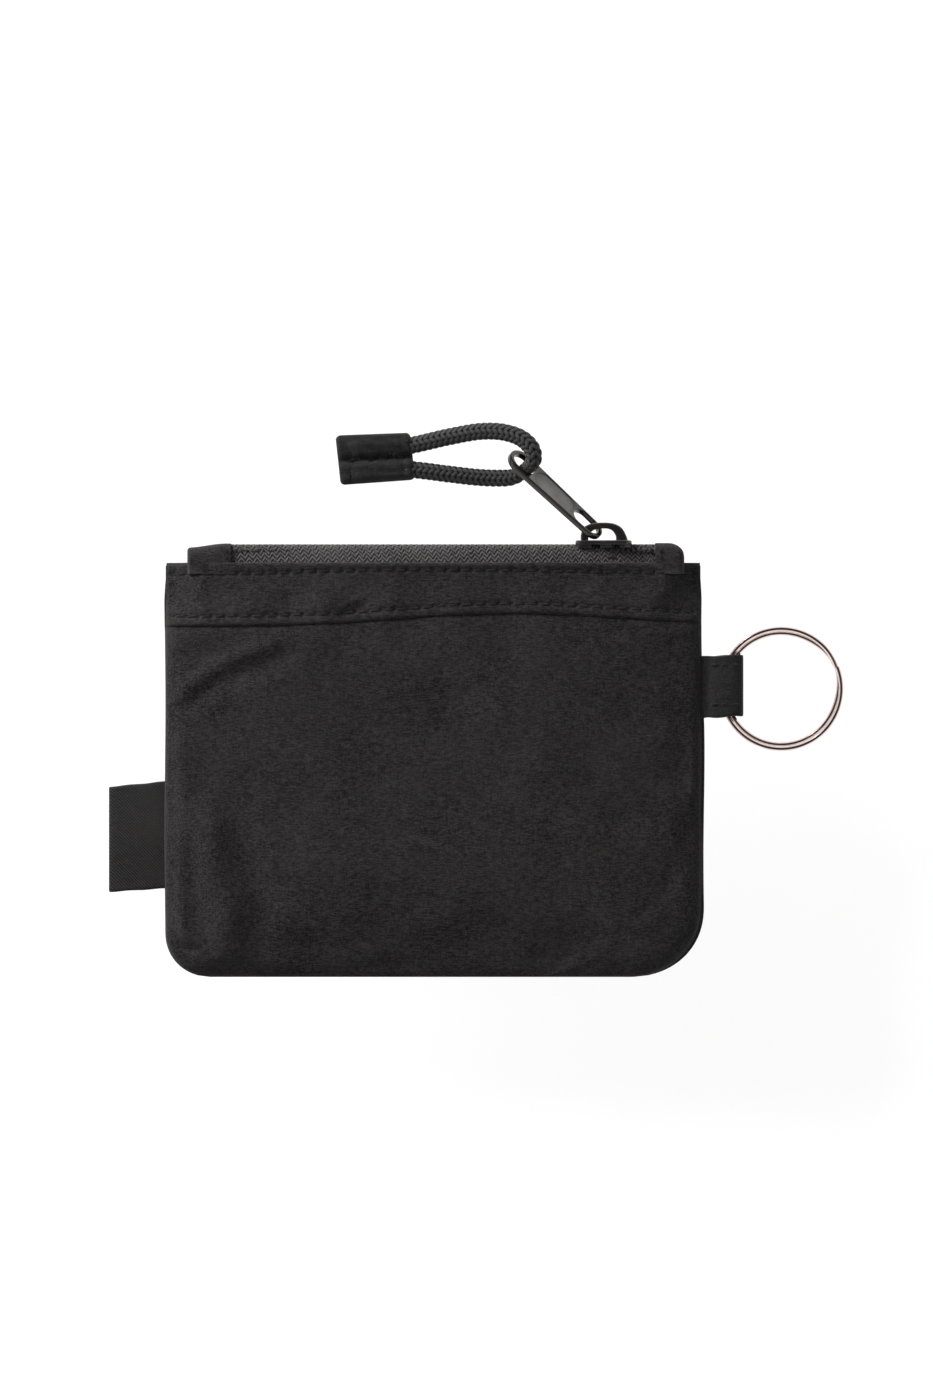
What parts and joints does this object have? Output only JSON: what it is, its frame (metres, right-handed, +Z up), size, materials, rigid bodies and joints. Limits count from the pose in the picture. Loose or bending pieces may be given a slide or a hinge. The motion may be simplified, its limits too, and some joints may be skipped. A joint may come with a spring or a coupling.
{
  "type": "zippered pouch",
  "caption": "Flat zippered fabric pouch with a cord zip pull, a split key ring in a side loop and a blank side label.",
  "frame": {"origin": "middle of the body's flat back face", "axes": "+X along the zip towards the key ring, +Y out of the back face, +Z up to the zip; the front face looks along -Y"},
  "size_m": [0.1643, 0.0081, 0.1234],
  "materials": {
    "body_fabric": "fine plain-weave nylon, dull, faint horizontal grain",
    "lining_fabric": "thin plain-weave lining, dull",
    "zipper_tape": "knitted tape, dull",
    "zipper_coil": "extruded monofilament, satin",
    "thread": "twisted sewing thread",
    "slider_metal": "glossy black enamel",
    "spring_steel": "bright spring steel",
    "pull_metal": "black nickel, glossy rims and satin face",
    "cord": "braided cord",
    "cover_fabric": "folded nylon, dull",
    "strap_fabric": "folded nylon strap, dull",
    "ring_nickel": "polished nickel plate",
    "label_tape": "fine twill tape, dull"
  },
  "bodies": {
    "pouch_back": {"back_panel": "body_fabric", "back_band": "body_fabric", "back_band_upper_stitches": "thread", "back_band_lower_stitches": "thread", "lining_back": "lining_fabric", "zipper_tape_back": "zipper_tape", "zipper_coil_back": "zipper_coil", "zipper_end_tab_left": "body_fabric", "zipper_end_tab_right": "body_fabric"},
    "pouch_front": {"front_panel": "body_fabric", "front_band": "body_fabric", "front_band_upper_stitches": "thread", "front_band_lower_stitches": "thread", "lining_front": "lining_fabric", "zipper_tape_front": "zipper_tape", "zipper_coil_front": "zipper_coil"},
    "slider": {"slider_body": "slider_metal", "slider_crown": "slider_metal"},
    "slider_lock": {"slider_lock_spring": "spring_steel"},
    "pull": {"pull_tab": "pull_metal"},
    "cord": {"pull_cord": "cord", "cord_end_cover": "cover_fabric", "cord_cover_stitches": "thread"},
    "key_strap": {"key_loop": "strap_fabric", "key_loop_stitches": "thread"},
    "ring": {"split_ring": "ring_nickel"},
    "label": {"side_label": "label_tape"}
  },
  "joints": [
    {"name": "slider_slide", "type": "slide", "parent": "pouch_back", "child": "slider", "axis": [-1, 0, 0], "range_m": [0, 0.076]},
    {"name": "mouth_open", "type": "hinge", "parent": "pouch_back", "child": "pouch_front", "pos_m": [0, -0.00055, -0.04625], "axis": [1, 0, 0], "range_deg": [0, 7.1], "deforming": ["zipper_tape_front", "zipper_coil_front", "zipper_coil_back"]},
    {"name": "lock_lift", "type": "slide", "parent": "slider", "child": "slider_lock", "axis": [0, 0, 1], "range_m": [0, 0.0006]},
    {"name": "pull_swing", "type": "hinge", "parent": "slider", "child": "pull", "pos_m": [0.03665, -0.0038, 0.05255], "axis": [0, 1, 0], "range_deg": [-8, 100]},
    {"name": "cord_swing", "type": "hinge", "parent": "pull", "child": "cord", "pos_m": [0.01902, -0.0038, 0.06899], "axis": [0, 1, 0], "range_deg": [-5, 60], "deforming": ["pull_cord"]},
    {"name": "key_loop_flap", "type": "hinge", "parent": "pouch_back", "child": "key_strap", "pos_m": [0.0607, -0.0026, 0.0185], "axis": [0, 0, 1], "range_deg": [-50, 50]},
    {"name": "ring_spin", "type": "hinge", "parent": "key_strap", "child": "ring", "pos_m": [0.0777, -0.0026, 0.0181], "axis": [0, 1, 0], "continuous": true},
    {"name": "label_flap", "type": "hinge", "parent": "pouch_back", "child": "label", "pos_m": [-0.0605, -0.0016, -0.0145], "axis": [0, 0, 1], "range_deg": [-60, 60]}
  ],
  "couplings": [
    {"joint": "mouth_open", "follows": "slider_slide", "rad_per_m": 1.6075}
  ]
}
